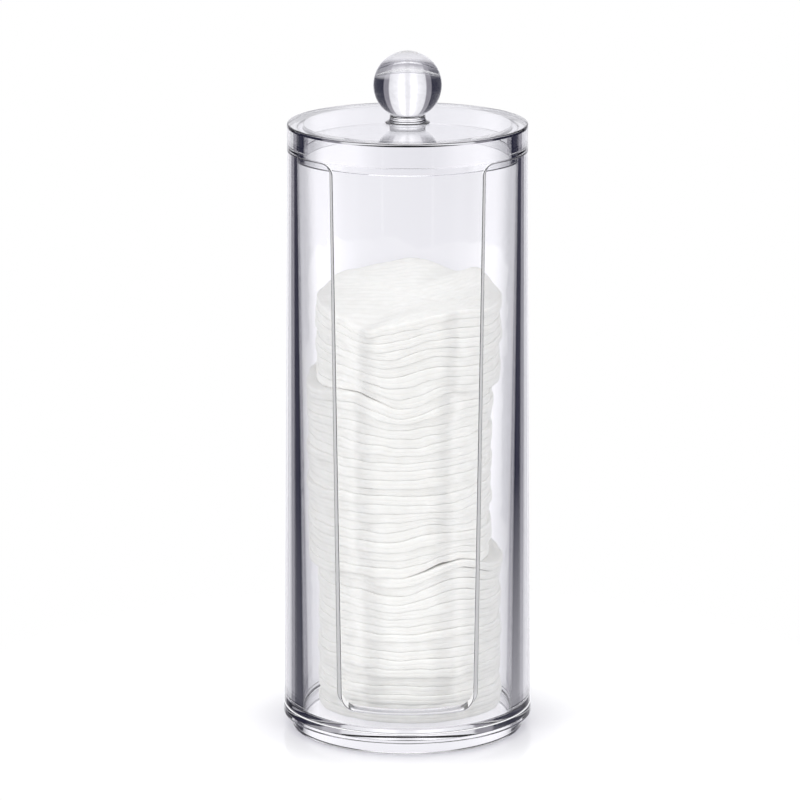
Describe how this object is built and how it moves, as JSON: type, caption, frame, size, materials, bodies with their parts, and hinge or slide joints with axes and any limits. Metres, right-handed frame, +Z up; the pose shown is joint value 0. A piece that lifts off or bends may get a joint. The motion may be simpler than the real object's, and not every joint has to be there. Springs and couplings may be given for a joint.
{
  "type": "cotton pad canister",
  "caption": "Clear round canister for cotton pads with an open front slot, a flanged base, a lift-off lid with a ball knob, and a stack of round pads.",
  "frame": {"origin": "on the tube's axis, in the plane of the table under the foot ring", "axes": "+Z up along the tube's axis, the open slot faces -Y"},
  "size_m": [0.079, 0.079, 0.2164],
  "materials": {
    "clear_plastic": "crystal clear moulded plastic, polished",
    "cotton": "soft pressed cotton, matt"
  },
  "bodies": {
    "canister": {"base_plate": "clear_plastic", "tube": "clear_plastic"},
    "lid": {"lid": "clear_plastic", "lid_knob": "clear_plastic"},
    "pad_stack": {"pad_01": "cotton", "pad_02": "cotton", "pad_03": "cotton", "pad_04": "cotton", "pad_05": "cotton", "pad_06": "cotton", "pad_07": "cotton", "pad_08": "cotton", "pad_09": "cotton", "pad_10": "cotton", "pad_11": "cotton", "pad_12": "cotton", "pad_13": "cotton", "pad_14": "cotton", "pad_15": "cotton", "pad_16": "cotton", "pad_17": "cotton", "pad_18": "cotton", "pad_19": "cotton", "pad_20": "cotton", "pad_21": "cotton", "pad_22": "cotton", "pad_23": "cotton", "pad_24": "cotton", "pad_25": "cotton", "pad_26": "cotton", "pad_27": "cotton", "pad_28": "cotton", "pad_29": "cotton", "pad_30": "cotton", "pad_31": "cotton", "pad_32": "cotton", "pad_33": "cotton", "pad_34": "cotton", "pad_35": "cotton", "pad_36": "cotton", "pad_37": "cotton", "pad_38": "cotton", "pad_39": "cotton", "pad_40": "cotton", "pad_41": "cotton", "pad_42": "cotton", "pad_43": "cotton", "pad_44": "cotton", "pad_45": "cotton"},
    "top_pad": {"top_pad": "cotton"}
  },
  "joints": [
    {"name": "lid_lift", "type": "slide", "parent": "canister", "child": "lid", "axis": [0, 0, 1], "range_m": [0, 0.08]},
    {"name": "stack_push", "type": "slide", "parent": "canister", "child": "pad_stack", "axis": [0, 0, 1], "range_m": [0, 0.02]},
    {"name": "top_pad_pick", "type": "slide", "parent": "pad_stack", "child": "top_pad", "axis": [0, 0, 1], "range_m": [0, 0.024]}
  ]
}
